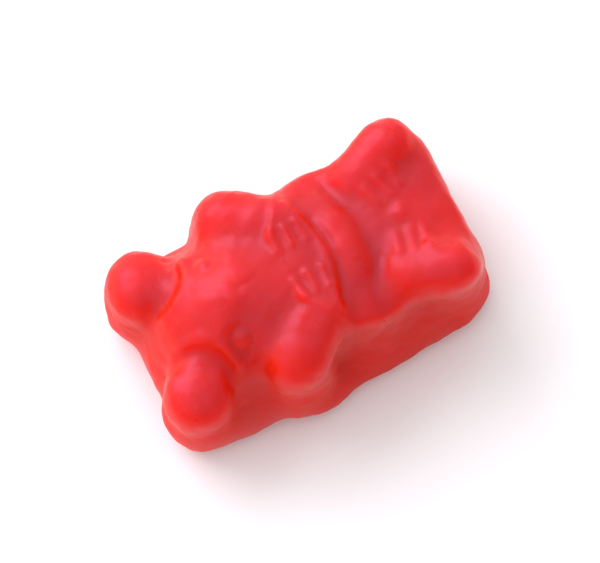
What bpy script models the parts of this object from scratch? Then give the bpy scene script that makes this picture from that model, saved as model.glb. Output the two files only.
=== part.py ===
"""Gummy bear: one piece of fruit jelly, cast face down in a mould and lying on its flat back.

+Y runs from the feet to the ears, +X to the right of someone looking down on the face, and +Z up out
of the face. The origin is under the middle of the flat back. The bear is formed in millimetres, and
the finished solid is in metres.

The mould gives the bear its form. A low slab with a rounded rim carries everything. The head, the
chest, the belly and the lap stand on it as large round masses, and the snout, the ears, the arms and
the legs grow out of those. The masses are run together twice, first the large ones and then the small
ones on top of them, so that every crease is as soft as the starch mould leaves it.
"""

from math import atan2, cos, sin

import bmesh
import bpy
from mathutils import Matrix, Vector

METRES = 0.001

# Driving dimensions
LENGTH = 22.0  # ears to feet
WIDTH = 14.0  # over the arms
THICKNESS = 9.8  # flat back to the tips of the paws and feet

# Slab under the whole bear
SLAB = 2.4
SLAB_RIM = 0.7  # the rounding round the flat back
SLAB_DRAFT = 0.15
SUNK = 1.0  # height inside the slab where the masses begin
WIDEST = 1.8  # height inside the slab where the eggs are widest

# Lobes of the slab, each its middle and its half sizes
EAR_PLATE = ((WIDTH * 0.264, 8.6), (2.4, 2.35))
ARM_PLATE = ((WIDTH / 2 - 2.75, 1.7), (2.75, 3.2))
HEAD_PLATE = ((0.0, 6.2), (WIDTH * 0.443, 4.3))
BELLY_PLATE = ((0.0, -2.15), (WIDTH * 0.461, 6.1))
FOOT_PLATE = ((0.0, 4.2 - LENGTH / 2), (WIDTH * 0.418, 4.2))

# Mould draft of the limbs
LIMB_DRAFT = 0.3

# Head and snout
HEAD_Y = LENGTH * 0.255
HEAD_RADII = (WIDTH * 0.386, LENGTH * 0.223)
HEAD_TOP = 8.9
SNOUT_Y = HEAD_Y - 1.0
SNOUT_RADII = (2.9, 4.0, 2.95)
SNOUT_TOP = 9.15

# Ears
EAR_RADIUS = 2.3
EAR_X = WIDTH * 0.268
EAR_Y = LENGTH / 2 - 2.05
EAR_WALL = 5.7
EAR_TOP = 7.4
EAR_CROWN = (EAR_RADIUS, EAR_RADIUS, 1.9)
EAR_DRAFT = 0.1

# Chest, waist, belly and lap, down the middle
CHEST_Y = 3.2
CHEST_RADII = (4.8, 4.8)
CHEST_TOP = 9.1
WAIST_Y = 0.4
WAIST_RADII = (5.2, 4.0)
FLANK_Y = -2.6
FLANK_RADII = (WIDTH * 0.421, 5.0)
FLANK_TOP = 7.7
FLANK_DRAFT = 0.9
BELLY_Y = -2.3
BELLY_RADII = (WIDTH * 0.443, 5.0)
BELLY_TOP = 8.7
SEAT_Y = -5.4
SEAT_RADII = (WIDTH * 0.436, 5.2)
SEAT_TOP = 8.3
LAP_Y = -7.5
LAP_RADII = (WIDTH * 0.386, 3.2)
LAP_WALL = 7.9
LAP_RISE = (4.6, 2.8)
LAP_TOP = 8.3
LAP_DRAFTS = (0.6, 1.0)

# Arms, from the shoulders down to the paws
ARM_RADIUS = 2.0
ARM_PILLAR = (2.2, 2.5)
SHOULDER = (WIDTH * 0.332, 2.75, 6.6)
PAW = (WIDTH * 0.193, 0.1, 7.15)

# Legs, which spread from the lap to the feet
LEG_RADIUS = 1.75
LEG_PILLAR = (2.6, 2.9)
LEG_WALL = 7.2
LEG_DRAFT = 0.5
HIP = (WIDTH * 0.225, -5.2, 7.0)
FOOT = (WIDTH * 0.304, -8.0, 7.7)

# Plans of the pillars, from an oval to a square with round corners
OVAL = 2.0
SQUARISH = 2.6
SQUARE = 4.0

# How far masses and limbs run into each other, and the size of the cells in which they do
MASS_BLEND = 0.60
LIMB_BLEND = 0.80
CELL = 0.22
ROUND_SIDES = 40
BACK_CUT = 0.1
TRIANGLES = 6400

JELLY_RED = (0.78, 0.02, 0.03, 1.0)
SATIN = 0.32


def add_ball(form, centre, radii):
    """An ellipsoid."""
    place = Matrix.Translation(centre) @ Matrix.Diagonal((*radii, 1.0))
    rings = ROUND_SIDES // 2
    bmesh.ops.create_uvsphere(form, u_segments=ROUND_SIDES, v_segments=rings, radius=1.0, matrix=place)


def add_dome(form, centre, radii, top):
    """An ellipsoid that begins in the slab and reaches up to top."""
    add_ball(form, (*centre, (top + SUNK) / 2), (*radii, (top - SUNK) / 2))


def add_egg(form, centre, radii, top):
    """An ellipsoid that is widest low in the slab, so that its sides lean in all the way up to top."""
    add_ball(form, (*centre, WIDEST), (*radii, top - WIDEST))


def add_pillar(form, centre, radii, bottom, top, inset, corner=OVAL):
    """An upright pillar, narrower by inset at its top. Its plan is an oval, squarer as corner grows."""
    made = bmesh.ops.create_cone(
        form, cap_ends=True, segments=2 * ROUND_SIDES, radius1=1.0, radius2=1.0, depth=1.0
    )
    for vertex in made["verts"]:
        turn = atan2(vertex.co.y, vertex.co.x)
        reach = (abs(cos(turn)) ** corner + abs(sin(turn)) ** corner) ** (-1.0 / corner)
        upper = vertex.co.z > 0.0
        narrowed = inset if upper else 0.0
        vertex.co.x = centre[0] + cos(turn) * reach * (radii[0] - narrowed)
        vertex.co.y = centre[1] + sin(turn) * reach * (radii[1] - narrowed)
        vertex.co.z = top if upper else bottom


def add_plate(form, centre, radii, corner=OVAL):
    """One lobe of the slab, drawn in round the back."""
    back = (radii[0] - SLAB_RIM, radii[1] - SLAB_RIM)
    add_pillar(form, centre, back, 0.0, SLAB_RIM, -SLAB_RIM, corner)
    add_pillar(form, centre, radii, SLAB_RIM, SLAB, SLAB_DRAFT, corner)


def add_limb(form, start, end, radius):
    """A round-ended limb from start to end."""
    along = end - start
    lean = along.to_track_quat("Z", "Y").to_matrix().to_4x4()
    bmesh.ops.create_cone(
        form,
        cap_ends=True,
        segments=ROUND_SIDES,
        radius1=radius,
        radius2=radius,
        depth=along.length,
        matrix=Matrix.Translation((start + end) / 2) @ lean,
    )
    add_ball(form, start, (radius,) * 3)
    add_ball(form, end, (radius,) * 3)


def evaluated(form, modifiers):
    """The form after the modifiers, each given as its type and its settings. It uses the form up."""
    mesh = bpy.data.meshes.new("forming")
    form.to_mesh(mesh)
    form.free()
    holder = bpy.data.objects.new("forming", mesh)
    bpy.context.scene.collection.objects.link(holder)
    for kind, settings in modifiers:
        modifier = holder.modifiers.new(kind.lower(), kind)
        for setting, value in settings.items():
            setattr(modifier, setting, value)
    shaped = bmesh.new()
    shaped.from_mesh(holder.evaluated_get(bpy.context.evaluated_depsgraph_get()).to_mesh())
    bpy.data.objects.remove(holder)
    bpy.data.meshes.remove(mesh)
    return shaped


def run_together(form, blend):
    """One skin round all the masses in the form, whose creases flow by about blend."""
    rounds = round((2.0 * blend / CELL) ** 2)
    skin = ("REMESH", {"mode": "VOXEL", "voxel_size": CELL})
    flow = ("SMOOTH", {"factor": 0.5, "iterations": rounds})
    return evaluated(form, [skin, flow])


def add_slab(form):
    """The slab follows the outline of the bear above it."""
    for side in (-1, 1):
        for (x, y), radii in (EAR_PLATE, ARM_PLATE):
            add_plate(form, (side * x, y), radii)
    add_plate(form, *HEAD_PLATE, SQUARISH)
    add_plate(form, *BELLY_PLATE, SQUARISH)
    add_plate(form, *FOOT_PLATE, SQUARE)


def add_masses(form):
    """Head, chest, waist, belly and lap."""
    add_egg(form, (0.0, HEAD_Y), HEAD_RADII, HEAD_TOP)
    add_dome(form, (0.0, CHEST_Y), CHEST_RADII, CHEST_TOP)
    add_dome(form, (0.0, WAIST_Y), WAIST_RADII, CHEST_TOP)
    add_pillar(form, (0.0, FLANK_Y), FLANK_RADII, SUNK, FLANK_TOP, FLANK_DRAFT, SQUARISH)
    add_egg(form, (0.0, BELLY_Y), BELLY_RADII, BELLY_TOP)
    add_egg(form, (0.0, SEAT_Y), SEAT_RADII, SEAT_TOP)
    add_pillar(form, (0.0, LAP_Y), LAP_RADII, SUNK, LAP_WALL, LAP_DRAFTS[0], SQUARE)
    add_pillar(form, (0.0, LAP_Y + 0.5), LAP_RISE, SUNK, LAP_TOP, LAP_DRAFTS[1], SQUARISH)


def add_limbs(form):
    """Snout, ears, arms and legs, each limb on a pillar that comes straight up out of the slab."""
    add_ball(form, (0.0, SNOUT_Y, SNOUT_TOP - SNOUT_RADII[2]), SNOUT_RADII)
    for side in (-1, 1):
        ear = (side * EAR_X, EAR_Y)
        add_pillar(form, ear, (EAR_RADIUS, EAR_RADIUS), SUNK, EAR_WALL, EAR_DRAFT)
        add_ball(form, (*ear, EAR_TOP - EAR_CROWN[2]), EAR_CROWN)
        shoulder = Vector((side * SHOULDER[0], *SHOULDER[1:]))
        paw = Vector((side * PAW[0], *PAW[1:]))
        add_pillar(form, shoulder.xy, ARM_PILLAR, SUNK, shoulder.z, LIMB_DRAFT)
        add_limb(form, shoulder, paw, ARM_RADIUS)
        hip = Vector((side * HIP[0], *HIP[1:]))
        foot = Vector((side * FOOT[0], *FOOT[1:]))
        add_pillar(form, (foot.x - side * 0.8, foot.y), LEG_PILLAR, SUNK, LEG_WALL, LEG_DRAFT)
        add_limb(form, foot, hip, LEG_RADIUS)


def flatten_back(form):
    """Cuts a sliver off the back, so that the bear rests on one true plane."""
    everything = form.verts[:] + form.edges[:] + form.faces[:]
    plane = {"plane_co": (0.0, 0.0, BACK_CUT), "plane_no": (0.0, 0.0, 1.0)}
    bmesh.ops.bisect_plane(form, geom=everything, clear_inner=True, **plane)
    bmesh.ops.edgeloop_fill(form, edges=[edge for edge in form.edges if edge.is_boundary])
    bmesh.ops.recalc_face_normals(form, faces=form.faces[:])


def bring_to_size(form):
    """Stretches the form by a hair to the driving dimensions, over the origin and in metres."""
    lows = [min(vertex.co[axis] for vertex in form.verts) for axis in range(3)]
    highs = [max(vertex.co[axis] for vertex in form.verts) for axis in range(3)]
    under = Vector(((lows[0] + highs[0]) / 2, (lows[1] + highs[1]) / 2, lows[2]))
    spans = zip((WIDTH, LENGTH, THICKNESS), lows, highs)
    stretch = [METRES * size / (high - low) for size, low, high in spans]
    bmesh.ops.translate(form, verts=form.verts[:], vec=-under)
    bmesh.ops.scale(form, verts=form.verts[:], vec=stretch)


def jelly_material():
    """Red fruit jelly with a soft wax gloss."""
    material = bpy.data.materials.new("red_jelly")
    material.use_nodes = True
    jelly = material.node_tree.nodes["Principled BSDF"]
    jelly.inputs["Base Color"].default_value = JELLY_RED
    jelly.inputs["Roughness"].default_value = SATIN
    material.diffuse_color = JELLY_RED
    return material


def make_bear():
    """Forms the whole bear and links it to the scene as one object."""
    form = bmesh.new()
    add_slab(form)
    add_masses(form)
    form = run_together(form, MASS_BLEND)
    add_limbs(form)
    form = run_together(form, LIMB_BLEND)
    triangles = sum(len(face.verts) - 2 for face in form.faces)
    form = evaluated(form, [("DECIMATE", {"ratio": TRIANGLES / triangles})])
    flatten_back(form)
    bring_to_size(form)
    mesh = bpy.data.meshes.new("gummy_bear")
    form.to_mesh(mesh)
    form.free()
    mesh.shade_smooth()
    mesh.materials.append(jelly_material())
    bpy.context.scene.collection.objects.link(bpy.data.objects.new("gummy_bear", mesh))


for old in list(bpy.data.objects):
    bpy.data.objects.remove(old)
make_bear()
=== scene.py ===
"""The look of a gummy bear: one red jelly sweet lying on its flat back, on a pale studio floor.

The bear is formed in millimetres, as its mould was carved: a slab, the large masses on it, the limbs
on those, and last the small relief of the face, the paws and the belly. Each stage is run together
into one skin before the next is added. +Y runs from the feet to the ears, and +Z up out of the face.
"""

from __future__ import annotations

import logging
import math
from dataclasses import dataclass, field
from enum import Enum

import bpy
import numpy as np
from mathutils import Matrix, Vector


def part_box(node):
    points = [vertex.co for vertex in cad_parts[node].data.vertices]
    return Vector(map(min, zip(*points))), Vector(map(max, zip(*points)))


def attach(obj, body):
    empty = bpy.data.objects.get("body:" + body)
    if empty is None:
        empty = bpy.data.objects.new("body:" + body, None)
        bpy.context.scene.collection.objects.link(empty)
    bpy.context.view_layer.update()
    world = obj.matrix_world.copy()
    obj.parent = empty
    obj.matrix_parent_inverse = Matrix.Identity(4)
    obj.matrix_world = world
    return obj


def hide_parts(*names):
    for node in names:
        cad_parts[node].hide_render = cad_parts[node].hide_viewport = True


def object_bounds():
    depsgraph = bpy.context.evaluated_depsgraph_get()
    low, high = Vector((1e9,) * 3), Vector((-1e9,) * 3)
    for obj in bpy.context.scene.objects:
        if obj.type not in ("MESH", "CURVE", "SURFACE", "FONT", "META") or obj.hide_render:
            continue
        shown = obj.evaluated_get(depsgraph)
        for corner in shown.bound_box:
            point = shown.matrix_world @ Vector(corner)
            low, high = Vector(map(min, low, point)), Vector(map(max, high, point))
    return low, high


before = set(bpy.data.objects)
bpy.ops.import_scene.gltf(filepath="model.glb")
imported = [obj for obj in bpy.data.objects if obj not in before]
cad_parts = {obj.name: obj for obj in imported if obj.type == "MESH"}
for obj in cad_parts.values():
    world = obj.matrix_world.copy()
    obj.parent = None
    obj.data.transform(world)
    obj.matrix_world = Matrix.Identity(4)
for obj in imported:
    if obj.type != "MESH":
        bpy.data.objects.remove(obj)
CAD_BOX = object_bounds()

MM = 0.001
CAD_NODE = "gummy_bear"
log = logging.getLogger("gummy_bear")

Point = tuple[float, float, float]


def linear(hex_colour: str) -> tuple[float, float, float, float]:
    """Turns an sRGB hex colour into the linear colour that shaders take.

    Args:
        hex_colour: Six hex digits, with or without a leading hash.

    Returns:
        Linear red, green and blue, with an alpha of 1.
    """
    digits = hex_colour.lstrip("#")
    channels = []
    for start in (0, 2, 4):
        value = int(digits[start:start + 2], 16) / 255.0
        channels.append(value / 12.92 if value <= 0.04045 else ((value + 0.055) / 1.055) ** 2.4)
    return (channels[0], channels[1], channels[2], 1.0)


def add_node(tree: bpy.types.NodeTree, kind: str, sockets: dict | None = None, **settings) -> bpy.types.Node:
    """Adds a node with its settings and links.

    Args:
        tree: The node tree.
        kind: Type of the node.
        sockets: Inputs by name or number, each a value or the output to link from.
        **settings: The node's own settings.

    Returns:
        The node.
    """
    node = tree.nodes.new(kind)
    for name, value in settings.items():
        setattr(node, name, value)
    join_sockets(tree, node, sockets or {})
    return node


def join_sockets(tree: bpy.types.NodeTree, node: bpy.types.Node, sockets: dict) -> None:
    """Sets or links a node's inputs.

    Args:
        tree: The node tree.
        node: The node.
        sockets: Inputs by name or number, each a value or the output to link from.
    """
    for name, value in sockets.items():
        if isinstance(value, bpy.types.NodeSocket):
            tree.links.new(value, node.inputs[name])
        else:
            node.inputs[name].default_value = value


def mirrored(point: Point, side: int) -> Point:
    """The point on the bear's right or left.

    Args:
        point: A point on the +X side.
        side: 1 to keep it, -1 for the other side.

    Returns:
        The point on that side.
    """
    return (side * point[0], point[1], point[2])


class Corner(Enum):
    """How round the corners of a block's plan are, as a share of its smaller half width."""

    SOFT = 0.88
    FIRM = 0.55


class Side(Enum):
    """The two sides that every limb is made for."""

    LEFT = -1
    RIGHT = 1


class Jelly:
    """A growing lump of jelly, made of overlapping masses and held as one mesh object."""

    ROUND = 48

    def __init__(self, name: str) -> None:
        """Starts with nothing in the lump.

        Args:
            name: Name of the finished object.
        """
        self.name = name
        self.masses: list[bpy.types.Object] = []

    def _take(self) -> bpy.types.Object:
        """Adds the primitive that was just made to the lump, and returns it."""
        mass = bpy.context.active_object
        self.masses.append(mass)
        return mass

    def ball(self, centre: Point, radii: Point, lean: float = 0.0, spin: float = 0.0) -> None:
        """Adds an ellipsoid.

        Args:
            centre: Its middle.
            radii: Its half sizes.
            lean: Turn about X, in degrees.
            spin: Turn about Z, in degrees.
        """
        turn = (math.radians(lean), 0.0, math.radians(spin))
        bpy.ops.mesh.primitive_uv_sphere_add(
            segments=self.ROUND, ring_count=self.ROUND // 2, radius=1.0,
            location=centre, rotation=turn, scale=radii,
        )
        self._take()

    def dome(self, centre: tuple[float, float], radii: tuple[float, float], top: float) -> None:
        """Adds an ellipsoid that begins in the slab and reaches up to top.

        Args:
            centre: Its middle in plan.
            radii: Its half sizes in plan.
            top: Its height.
        """
        sunk = Slab.SUNK
        self.ball((*centre, (top + sunk) / 2), (*radii, (top - sunk) / 2))

    def egg(self, centre: tuple[float, float], radii: tuple[float, float], top: float) -> None:
        """Adds the upper half of an ellipsoid whose widest part is low in the slab.

        Args:
            centre: Its middle in plan.
            radii: Its half sizes in plan.
            top: Its height.
        """
        widest = 1.8
        self.ball((*centre, widest), (*radii, top - widest))

    def post(self, centre: tuple[float, float], radii: tuple[float, float], bottom: float, top: float,
             inset: float) -> None:
        """Adds an oval post that narrows towards its top, as a mould drafts it.

        Args:
            centre: Its middle in plan.
            radii: Its half sizes at the bottom.
            bottom: Where it starts.
            top: Where it ends.
            inset: How much narrower each half size is at the top.
        """
        bpy.ops.mesh.primitive_cylinder_add(
            vertices=self.ROUND, radius=1.0, depth=top - bottom, end_fill_type="NGON",
            location=(*centre, (top + bottom) / 2), scale=(*radii, 1.0),
        )
        self._narrow(self._take(), (1.0 - inset / radii[0], 1.0 - inset / radii[1]))

    def block(self, centre: tuple[float, float], radii: tuple[float, float], bottom: float, top: float,
              inset: float, corner: Corner = Corner.SOFT) -> None:
        """Adds a block with rounded upright edges that narrows towards its top.

        Args:
            centre: Its middle in plan.
            radii: Its half sizes at the bottom.
            bottom: Where it starts.
            top: Where it ends.
            inset: How much narrower each half size is at the top.
            corner: How round its plan is.
        """
        bpy.ops.mesh.primitive_cube_add(
            size=2.0, location=(*centre, (top + bottom) / 2), scale=(*radii, (top - bottom) / 2)
        )
        mass = self._take()
        bpy.ops.object.transform_apply(location=False, rotation=False, scale=True)
        self._pick_edges(mass, lambda run: abs(run.z) > 0.9 * run.length)
        bpy.ops.object.mode_set(mode="EDIT")
        bpy.ops.mesh.bevel(offset=corner.value * min(radii), segments=12, profile=0.5)
        bpy.ops.object.mode_set(mode="OBJECT")
        self._narrow(mass, (1.0 - inset / radii[0], 1.0 - inset / radii[1]))

    def limb(self, start: Point, end: Point, radius: float, tip: float | None = None) -> None:
        """Adds a round-ended limb.

        Args:
            start: Middle of the thick end.
            end: Middle of the other end.
            radius: Radius at the start.
            tip: Radius at the end, if it isn't the same.
        """
        tip = radius if tip is None else tip
        begin, finish = Vector(start), Vector(end)
        along = finish - begin
        bpy.ops.mesh.primitive_cone_add(
            vertices=self.ROUND, radius1=radius, radius2=tip, depth=along.length,
            location=(begin + finish) / 2, rotation=along.to_track_quat("Z", "Y").to_euler(),
        )
        self._take()
        self.ball(start, (radius, radius, radius))
        self.ball(end, (tip, tip, tip))

    def _pick_edges(self, mass: bpy.types.Object, wanted) -> None:
        """Selects the edges of a mass whose run passes the test, and nothing else."""
        bpy.ops.object.mode_set(mode="EDIT")
        bpy.ops.mesh.select_mode(type="EDGE")
        bpy.ops.mesh.select_all(action="DESELECT")
        bpy.ops.object.mode_set(mode="OBJECT")
        mesh = mass.data
        for edge in mesh.edges:
            first, second = (mesh.vertices[index].co for index in edge.vertices)
            edge.select = wanted(second - first)

    def _narrow(self, mass: bpy.types.Object, by: tuple[float, float]) -> None:
        """Draws in the top of a mass, by a share in X and one in Y."""
        bpy.ops.object.mode_set(mode="EDIT")
        bpy.ops.mesh.select_mode(type="VERT")
        bpy.ops.mesh.select_all(action="DESELECT")
        bpy.ops.object.mode_set(mode="OBJECT")
        for vertex in mass.data.vertices:
            vertex.select = vertex.co.z > 0.0
        bpy.ops.object.mode_set(mode="EDIT")
        bpy.ops.transform.resize(value=(by[0], by[1], 1.0))
        bpy.ops.object.mode_set(mode="OBJECT")

    def run_together(self, cell: float, blend: float) -> bpy.types.Object:
        """Joins the masses into one skin, whose creases flow by about blend.

        Args:
            cell: Size of the skin's faces.
            blend: How far masses run into each other.

        Returns:
            The lump as one object, which is also the first mass of the next stage.
        """
        bpy.ops.object.select_all(action="DESELECT")
        for mass in self.masses:
            mass.select_set(True)
        bpy.context.view_layer.objects.active = self.masses[0]
        bpy.ops.object.join()
        lump = bpy.context.active_object
        lump.name = self.name
        bpy.ops.object.transform_apply(location=True, rotation=True, scale=True)
        skin = lump.modifiers.new("skin", "REMESH")
        skin.mode = "VOXEL"
        skin.voxel_size = cell
        flow = lump.modifiers.new("flow", "SMOOTH")
        flow.factor = 0.5
        flow.iterations = max(1, round((2.0 * blend / cell) ** 2))
        for modifier in ("skin", "flow"):
            bpy.ops.object.modifier_apply(modifier=modifier)
        self.masses = [lump]
        return lump


@dataclass(frozen=True)
class Stroke:
    """One mark of the carver's tool along a path on the face side, raised or pressed in."""

    path: tuple[tuple[float, float], ...]
    width: float
    lift: float

    def weights(self, points: np.ndarray) -> np.ndarray:
        """How strongly each point takes part.

        Args:
            points: Plan positions, one per row.

        Returns:
            From 0 far away to 1 on the path.
        """
        nearest = np.full(len(points), np.inf)
        for start, end in zip(self.path, self.path[1:]):
            begin, run = np.array(start), np.subtract(end, start)
            length = max(float(run @ run), 1e-9)
            share = np.clip((points - begin) @ run / length, 0.0, 1.0)
            away = points - begin - share[:, None] * run
            nearest = np.minimum(nearest, (away ** 2).sum(axis=1))
        return np.exp(-nearest / self.width ** 2)


def arc(centre: tuple[float, float], radius: float, start: float, end: float) -> tuple[tuple[float, float], ...]:
    """Points along an arc in plan.

    Args:
        centre: Its centre.
        radius: Its radius.
        start: Its first angle in degrees.
        end: Its last angle in degrees.

    Returns:
        The points, evenly spaced.
    """
    steps = 16
    angles = [math.radians(start + (end - start) * step / steps) for step in range(steps + 1)]
    return tuple((centre[0] + radius * math.cos(turn), centre[1] + radius * math.sin(turn)) for turn in angles)


@dataclass
class Slab:
    """The low slab under the whole bear, with its rounded rim."""

    SUNK = 1.0
    height: float = 2.4
    rim: float = 0.7
    draft: float = 0.15

    def _plate(self, jelly: Jelly, centre: tuple[float, float], radii: tuple[float, float],
               corner: Corner | None = None) -> None:
        """One lobe of the slab, oval if it has no corner, drawn in round the back."""
        back = (radii[0] - self.rim, radii[1] - self.rim)
        for outline, bottom, top, inset in (
            (back, 0.0, self.rim, -self.rim),
            (radii, self.rim, self.height, self.draft),
        ):
            if corner is None:
                jelly.post(centre, outline, bottom, top, inset)
            else:
                jelly.block(centre, outline, bottom, top, inset, corner)

    def model(self, jelly: Jelly) -> None:
        """Adds the slab to the jelly.

        Args:
            jelly: The lump that it goes into.
        """
        for side in Side:
            self._plate(jelly, (side.value * 3.7, 8.6), (2.4, 2.35))
            self._plate(jelly, (side.value * 4.25, 1.7), (2.75, 3.2))
        self._plate(jelly, (0.0, 6.2), (6.2, 4.3), Corner.SOFT)
        self._plate(jelly, (0.0, -2.15), (6.45, 6.1), Corner.SOFT)
        self._plate(jelly, (0.0, -6.8), (5.85, 4.2), Corner.FIRM)


@dataclass
class Trunk:
    """Chest, waist, belly and lap, with the soft folds across the belly."""

    folds: tuple[tuple[float, float, float, float], ...] = (
        (-1.35, 3.4, 0.28, 0.16),
        (-1.95, 3.2, 0.30, -0.16),
        (-2.9, 4.2, 0.75, 0.18),
        (-4.2, 4.4, 0.60, -0.16),
    )

    def model(self, jelly: Jelly) -> None:
        """Adds the masses down the middle.

        Args:
            jelly: The lump that they go into.
        """
        jelly.dome((0.0, 3.2), (4.8, 4.8), 9.1)
        jelly.dome((0.0, 0.4), (5.2, 4.0), 9.1)
        jelly.block((0.0, -2.6), (5.9, 5.0), Slab.SUNK, 7.7, 0.9)
        jelly.egg((0.0, -2.3), (6.2, 5.0), 8.7)
        jelly.egg((0.0, -5.4), (6.1, 5.2), 8.3)
        jelly.block((0.0, -7.5), (5.4, 3.2), Slab.SUNK, 7.9, 0.6, Corner.FIRM)
        jelly.block((0.0, -7.0), (4.6, 2.8), Slab.SUNK, 8.3, 1.0)

    def relief(self) -> list[Stroke]:
        """The folds, each an arc across the belly whose ends rise towards the arms."""
        return [
            Stroke(arc((0.0, middle + 2.2 * half), 2.2 * half, -90.0 - 27.0, -90.0 + 27.0), width, lift)
            for middle, half, width, lift in self.folds
        ]


@dataclass
class Head:
    """Head with its cheeks, snout, nose, brow and eyes."""

    centre: float = 5.6
    radii: tuple[float, float] = (5.4, 4.9)
    top: float = 8.9
    eye: tuple[float, float] = (2.55, 5.4)
    nose: tuple[float, float] = (0.0, 5.0)

    def model(self, jelly: Jelly) -> None:
        """Adds the large masses of the head.

        Args:
            jelly: The lump that they go into.
        """
        jelly.egg((0.0, self.centre), self.radii, self.top)

    def model_snout(self, jelly: Jelly) -> None:
        """Adds the snout.

        Args:
            jelly: The lump that it goes into.
        """
        jelly.ball((0.0, 4.6, 6.2), (2.9, 4.0, 2.95))

    def relief(self) -> list[Stroke]:
        """The nose, the mouth, the eyes in their sockets and the brows."""
        nose, eye = self.nose, self.eye
        strokes = [
            Stroke(((-0.3, nose[1]), (0.3, nose[1])), 0.45, 0.14),
            Stroke(((0.0, nose[1] - 0.8), (0.0, nose[1] - 1.5)), 0.22, -0.10),
        ]
        for side in Side:
            ball = (side.value * eye[0], eye[1])
            strokes += [
                Stroke(arc(ball, 0.60, 0.0, 360.0), 0.26, -0.10),
                Stroke((ball, ball), 0.34, 0.12),
                Stroke(arc((ball[0], ball[1] - 0.6), 1.7, 55.0, 125.0), 0.36, 0.10),
            ]
        return strokes


@dataclass
class Ears:
    """Two round knobs at the corners of the head."""

    centre: tuple[float, float] = (3.75, 8.95)
    radius: float = 2.3

    def model(self, jelly: Jelly) -> None:
        """Adds both ears.

        Args:
            jelly: The lump that they go into.
        """
        for side in Side:
            middle = (side.value * self.centre[0], self.centre[1])
            jelly.post(middle, (self.radius, self.radius), Slab.SUNK, 5.7, 0.1)
            jelly.ball((*middle, 5.5), (self.radius, self.radius, 1.9))

    def relief(self) -> list[Stroke]:
        """A groove round the head's side of each ear, with a thin ridge behind it."""
        strokes = []
        for side in Side:
            middle = (side.value * self.centre[0], self.centre[1])
            inward = 225.0 if side is Side.RIGHT else -45.0
            strokes += [
                Stroke(arc(middle, 2.10, inward - 60.0, inward + 60.0), 0.40, -0.14),
                Stroke(arc(middle, 2.75, inward - 40.0, inward + 40.0), 0.30, 0.12),
            ]
        return strokes


@dataclass
class Arms:
    """Two short arms, from the shoulders down to paws whose claws nearly meet on the belly."""

    shoulder: Point = (4.65, 2.75, 6.6)
    paw: Point = (2.7, 0.1, 7.2)
    radius: float = 2.05
    claws: tuple[tuple[tuple[float, float], tuple[float, float]], ...] = (
        ((2.25, 0.95), (1.05, 1.10)),
        ((2.15, 0.15), (0.90, 0.20)),
        ((2.20, -0.65), (0.95, -0.80)),
    )

    def model(self, jelly: Jelly) -> None:
        """Adds both arms.

        Args:
            jelly: The lump that they go into.
        """
        for side in Side:
            shoulder = mirrored(self.shoulder, side.value)
            jelly.post(shoulder[:2], (2.2, 2.5), Slab.SUNK, shoulder[2], 0.3)
            jelly.limb(shoulder, mirrored(self.paw, side.value), self.radius, 1.9)

    def relief(self) -> list[Stroke]:
        """The claws of both paws, and the edge along each forearm."""
        strokes = []
        for side in Side:
            for start, end in self.claws:
                path = ((side.value * start[0], start[1]), (side.value * end[0], end[1]))
                strokes.append(Stroke(path, 0.25, 0.22))
            edge = ((side.value * 4.6, -0.75), (side.value * 1.9, 1.2))
            strokes.append(Stroke(edge, 0.28, 0.16))
        return strokes


@dataclass
class Legs:
    """Two thick legs whose feet end the bear."""

    radius: float = 1.75
    hip: Point = (3.15, -5.2, 7.0)
    foot: Point = (4.25, -8.0, 7.7)
    toes: tuple[tuple[tuple[float, float], tuple[float, float]], ...] = (
        ((2.1, -5.4), (1.2, -5.7)),
        ((2.4, -6.3), (1.3, -6.6)),
        ((2.7, -7.2), (1.6, -7.4)),
    )

    def model(self, jelly: Jelly) -> None:
        """Adds both legs, each a pillar that narrows upwards to a round foot.

        Args:
            jelly: The lump that they go into.
        """
        for side in Side:
            foot = mirrored(self.foot, side.value)
            jelly.post((foot[0] - side.value * 0.8, foot[1] + 0.1), (2.6, 2.9), Slab.SUNK, 7.2, 0.5)
            jelly.limb(foot, mirrored(self.hip, side.value), self.radius)

    def relief(self) -> list[Stroke]:
        """The toes of both feet, which point at each other across the lap, and the bump between them."""
        bump = (0.0, -6.6)
        strokes = [Stroke((bump, bump), 0.55, 0.22)]
        for side in Side:
            for start, end in self.toes:
                path = ((side.value * start[0], start[1]), (side.value * end[0], end[1]))
                strokes.append(Stroke(path, 0.34, 0.20))
        return strokes


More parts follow.
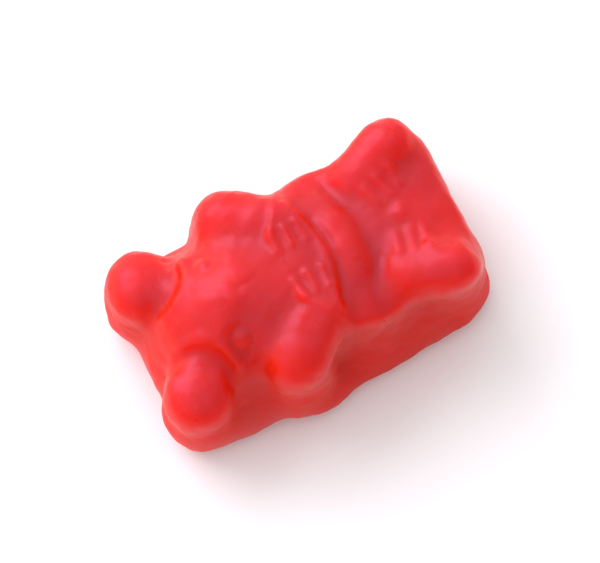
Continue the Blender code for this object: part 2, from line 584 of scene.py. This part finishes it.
@dataclass(frozen=True)
class RedJelly:
    """Fruit jelly of gelatin and glucose, cast in starch and tumbled in wax oil.

    The eye sees a deep, clear red that glows paler where the jelly is thin, a soft uneven gloss on the
    raised parts that rub together in the drum, and duller sides. The paler glow at the slab edge and a pink
    sheen on faces that look up are painted light in the base colour.
    """

    body: str = "#D61D05"
    cloudy: str = "#D42208"
    # painted sheen: pink reflection of the overhead light, painted on faces that look up
    painted_sheen: str = "#B4343E"
    # painted glow: floor light through the thin slab edge, painted paler into the colour
    painted_glow: str = "#E05A54"
    scatter_mm: float = 5.0
    cloud_mm: float = 4.0
    gloss_patch_mm: float = 2.2
    grain_mm: float = 0.45
    grain_depth_mm: float = 0.035
    # heights over which the painted glow fades out
    painted_glow_rim_mm: tuple[float, float] = (0.8, 4.0)
    side_mm: tuple[float, float] = (2.5, 7.5)
    # how far a face must look up to take the painted sheen
    painted_sheen_facing: tuple[float, float] = (0.55, 0.98)
    head_mm: tuple[float, float] = (-1.0, 5.0)
    name: str = "red_jelly_cast_and_waxed"

    def material(self) -> bpy.types.Material:
        """Builds the finish.

        Returns:
            The material.
        """
        material = bpy.data.materials.new(self.name)
        material.use_nodes = True
        tree = material.node_tree
        place = add_node(tree, "ShaderNodeTexCoord").outputs["Object"]
        split = add_node(tree, "ShaderNodeSeparateXYZ", {0: place})
        height, along = split.outputs["Z"], split.outputs["Y"]

        # Uneven glucose and trapped air make slow, faint clouds in the red.
        clouds = add_node(tree, "ShaderNodeTexNoise", {
            "Vector": place, "Scale": 1.0 / (self.cloud_mm * MM), "Detail": 2.0, "Roughness": 0.45,
        })
        red = add_node(tree, "ShaderNodeMix", {
            "Factor": clouds.outputs["Fac"], 6: linear(self.body), 7: linear(self.cloudy),
        }, data_type="RGBA")
        # Painted sheen: faces that look up get a faint pink reflection of the overhead light painted into the colour,
        # in the same clouds.
        facing = add_node(tree, "ShaderNodeSeparateXYZ", {0: add_node(tree, "ShaderNodeNewGeometry").outputs["Normal"]})
        painted_sheen_share = add_node(tree, "ShaderNodeMapRange", {
            "Value": facing.outputs["Z"], "From Min": self.painted_sheen_facing[0], "From Max": self.painted_sheen_facing[1],
            "To Min": 0.0, "To Max": clouds.outputs["Fac"],
        }, interpolation_type="SMOOTHSTEP")
        sheen_painted_red = add_node(tree, "ShaderNodeMix", {
            "Factor": painted_sheen_share.outputs["Result"], 6: red.outputs[2], 7: linear(self.painted_sheen),
        }, data_type="RGBA")
        # Painted glow: the slab's edge round the head is thin enough for the light floor to shine through, and that
        # light is painted paler into the colour, most near the head.
        painted_glow_near_head = add_node(tree, "ShaderNodeMapRange", {
            "Value": along, "From Min": self.head_mm[0] * MM, "From Max": self.head_mm[1] * MM,
            "To Min": 0.15, "To Max": 0.8,
        }, interpolation_type="SMOOTHSTEP")
        # edge is the share of painted glow, strongest low on the slab
        edge = add_node(tree, "ShaderNodeMapRange", {
            "Value": height, "From Min": self.painted_glow_rim_mm[0] * MM, "From Max": self.painted_glow_rim_mm[1] * MM,
            "To Min": painted_glow_near_head.outputs["Result"], "To Max": 0.0,
        }, interpolation_type="SMOOTHSTEP")
        colour = add_node(tree, "ShaderNodeMix", {
            "Factor": edge.outputs["Result"], 6: sheen_painted_red.outputs[2], 7: linear(self.painted_glow),
        }, data_type="RGBA")

        # Wax oil stays in patches, so the gloss comes and goes. The low sides keep the dull of the starch.
        patches = add_node(tree, "ShaderNodeTexNoise", {
            "Vector": place, "Scale": 1.0 / (self.gloss_patch_mm * MM), "Detail": 3.0, "Roughness": 0.6,
        })
        waxed = add_node(tree, "ShaderNodeMapRange", {
            "Value": patches.outputs["Fac"], "From Min": 0.3, "From Max": 0.7, "To Min": 0.24, "To Max": 0.42,
        })
        roughness = add_node(tree, "ShaderNodeMapRange", {
            "Value": height, "From Min": self.side_mm[0] * MM, "From Max": self.side_mm[1] * MM,
            "To Min": 0.65, "To Max": waxed.outputs["Result"],
        }, interpolation_type="SMOOTHSTEP")
        # The starch mould leaves a fine grain.
        grain = add_node(tree, "ShaderNodeTexNoise", {
            "Vector": place, "Scale": 1.0 / (self.grain_mm * MM), "Detail": 2.0, "Roughness": 0.5,
        })
        skin = add_node(tree, "ShaderNodeBump", {
            "Height": grain.outputs["Fac"], "Strength": 0.6, "Distance": self.grain_depth_mm * MM,
        })
        join_sockets(tree, tree.nodes["Principled BSDF"], {
            "Base Color": colour.outputs[2],
            "Roughness": roughness.outputs["Result"],
            "IOR": 1.45,
            "Specular IOR Level": 0.30,
            "Specular Tint": (1.0, 0.6, 0.95, 1.0),
            "Subsurface Weight": 1.0,
            "Subsurface Radius": (1.0, 0.03, 0.02),
            "Subsurface Scale": self.scatter_mm * MM,
            "Normal": skin.outputs["Normal"],
        })
        return material


@dataclass
class GummyBear:
    """The whole sweet, formed in stages and brought to the size of its frame."""

    slab: Slab = field(default_factory=Slab)
    trunk: Trunk = field(default_factory=Trunk)
    head: Head = field(default_factory=Head)
    ears: Ears = field(default_factory=Ears)
    arms: Arms = field(default_factory=Arms)
    legs: Legs = field(default_factory=Legs)
    finish: RedJelly = field(default_factory=RedJelly)
    coarse: float = 0.2
    fine: float = 0.14
    mass_blend: float = 0.6
    limb_blend: float = 0.85
    relief_blend: float = 0.22
    back_cut: float = 0.1

    def form(self) -> bpy.types.Object:
        """Forms the bear in its stages.

        Returns:
            The bear in millimetres.
        """
        jelly = Jelly("gummy_bear_jelly")
        self.slab.model(jelly)
        self.trunk.model(jelly)
        self.head.model(jelly)
        jelly.run_together(self.coarse, self.mass_blend)
        self.head.model_snout(jelly)
        self.ears.model(jelly)
        self.arms.model(jelly)
        self.legs.model(jelly)
        jelly.run_together(self.coarse, self.limb_blend)
        return jelly.run_together(self.fine, self.relief_blend)

    def carve(self, bear: bpy.types.Object) -> None:
        """Works the small relief into the face side.

        Args:
            bear: The formed bear.
        """
        flat = np.zeros(len(bear.data.vertices) * 3)
        bear.data.vertices.foreach_get("co", flat)
        points = flat.reshape(-1, 3).copy()
        bear.data.vertex_normals.foreach_get("vector", flat)
        facing = flat.reshape(-1, 3)
        upper = np.clip((points[:, 2] - 4.0) / 1.5, 0.0, 1.0) * np.clip(facing[:, 2] * 1.6, 0.0, 1.0)
        for part in (self.trunk, self.head, self.ears, self.arms, self.legs):
            for stroke in part.relief():
                group = bear.vertex_groups.new(name="mark")
                weights = stroke.weights(points[:, :2]) * upper
                for index in np.flatnonzero(weights > 0.01):
                    group.add([int(index)], float(weights[index]), "REPLACE")
                mark = bear.modifiers.new("mark", "DISPLACE")
                mark.direction = "NORMAL"
                mark.mid_level = 0.0
                mark.strength = stroke.lift
                mark.vertex_group = group.name
                bpy.ops.object.modifier_apply(modifier=mark.name)
                bear.vertex_groups.clear()

    def dimple(self, bear: bpy.types.Object) -> None:
        """Gives the skin the slow waves of jelly that has dried a little.

        Args:
            bear: The carved bear.
        """
        for name, size, strength in (("waves", 3.2, 0.26), ("dents", 1.1, 0.15)):
            clouds = bpy.data.textures.new(name, "CLOUDS")
            clouds.noise_scale = size
            clouds.noise_depth = 1
            ripple = bear.modifiers.new(name, "DISPLACE")
            ripple.texture = clouds
            ripple.texture_coords = "LOCAL"
            ripple.strength = strength
            ripple.mid_level = 0.5
            bpy.ops.object.modifier_apply(modifier=name)

    def flatten_back(self, bear: bpy.types.Object) -> None:
        """Cuts a sliver off the back, so that the bear rests on one plane.

        Args:
            bear: The formed bear.
        """
        bpy.ops.object.mode_set(mode="EDIT")
        bpy.ops.mesh.select_all(action="SELECT")
        bpy.ops.mesh.bisect(
            plane_co=(0.0, 0.0, self.back_cut), plane_no=(0.0, 0.0, 1.0), use_fill=True, clear_inner=True
        )
        bpy.ops.mesh.select_all(action="SELECT")
        bpy.ops.mesh.normals_make_consistent(inside=False)
        bpy.ops.object.mode_set(mode="OBJECT")

    def bring_to_size(self, bear: bpy.types.Object) -> None:
        """Brings the bear to its frame's box, with its place in its mesh.

        Args:
            bear: The formed bear.
        """
        low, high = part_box(CAD_NODE)
        points = [vertex.co for vertex in bear.data.vertices]
        near = Vector(min(point[axis] for point in points) for axis in range(3))
        far = Vector(max(point[axis] for point in points) for axis in range(3))
        stretch = Matrix.Diagonal([(high[axis] - low[axis]) / (far[axis] - near[axis]) for axis in range(3)])
        bear.data.transform(Matrix.Translation(low) @ stretch.to_4x4() @ Matrix.Translation(-near))

    def build(self) -> bpy.types.Object:
        """Makes the bear, dresses it and puts it on its frame.

        Returns:
            The finished bear.
        """
        bpy.ops.object.select_all(action="DESELECT")
        bear = self.form()
        self.carve(bear)
        self.dimple(bear)
        self.flatten_back(bear)
        self.bring_to_size(bear)
        bpy.ops.object.shade_smooth()
        bear.data.materials.clear()
        bear.data.materials.append(self.finish.material())
        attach(bear, "root")
        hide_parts(CAD_NODE)
        log.info("%s: %d faces", bear.name, len(bear.data.polygons))
        return bear


@dataclass
class Studio:
    """Pale floor, soft light and the camera."""

    azimuth: float = 242.5
    elevation: float = 72.0
    distance: float = 0.30
    focal: float = 300.0

    def build(self) -> None:
        """Sets up the floor, the lights and the camera."""
        scene = bpy.context.scene
        low, high = (Vector(corner) for corner in CAD_BOX)
        middle = (low + high) / 2
        bpy.ops.mesh.primitive_plane_add(size=4.0, location=(0.0, 0.0, low.z))
        floor = bpy.context.active_object
        floor.name = "studio_floor"
        white = bpy.data.materials.new("floor_matt_white")
        white.use_nodes = True
        shader = white.node_tree.nodes["Principled BSDF"]
        shader.inputs["Base Color"].default_value = linear("#F4F3F4")
        shader.inputs["Roughness"].default_value = 0.9
        floor.data.materials.append(white)
        turn = Matrix.Rotation(math.radians(self.azimuth), 3, "Z")
        rise = math.radians(self.elevation)
        eye = middle + turn @ Vector((0.0, -math.cos(rise), math.sin(rise))) * self.distance
        camera = bpy.data.objects.new("camera", bpy.data.cameras.new("camera"))
        camera.data.lens = self.focal
        camera.data.clip_start = 0.01
        camera.location = eye
        camera.rotation_euler = (middle - eye).to_track_quat("-Z", "Y").to_euler()
        scene.collection.objects.link(camera)
        scene.camera = camera
        lamp = bpy.data.objects.new("softbox", bpy.data.lights.new("softbox", "AREA"))
        lamp.data.shape = "SQUARE"
        lamp.data.size = 0.32
        lamp.data.energy = 1.25
        lamp.data.color = (0.95, 0.88, 1.0)
        lamp.location = middle + turn @ Vector((-0.25, 0.20, 0.27))
        lamp.rotation_euler = (middle - lamp.location).to_track_quat("-Z", "Y").to_euler()
        scene.collection.objects.link(lamp)
        world = bpy.data.worlds.new("studio")
        world.use_nodes = True
        tree = world.node_tree
        where = add_node(tree, "ShaderNodeTexCoord")
        toward = add_node(tree, "ShaderNodeVectorMath", {
            0: where.outputs["Generated"], 1: (turn @ Vector((-0.65, 0.45, 0.6))).normalized(),
        }, operation="DOT_PRODUCT")
        fade = add_node(tree, "ShaderNodeMapRange", {
            "Value": toward.outputs["Value"], "From Min": -0.3, "From Max": 0.8, "To Min": 0.45, "To Max": 1.45,
        })
        join_sockets(tree, tree.nodes["Background"], {"Color": fade.outputs["Result"], "Strength": 0.95})
        scene.world = world
        scene.view_settings.view_transform = "Standard"


def main() -> None:
    """Builds the bear and the studio."""
    logging.basicConfig(level=logging.INFO, format="%(name)s: %(message)s")
    GummyBear().build()
    Studio().build()


if __name__ == "__main__":
    main()
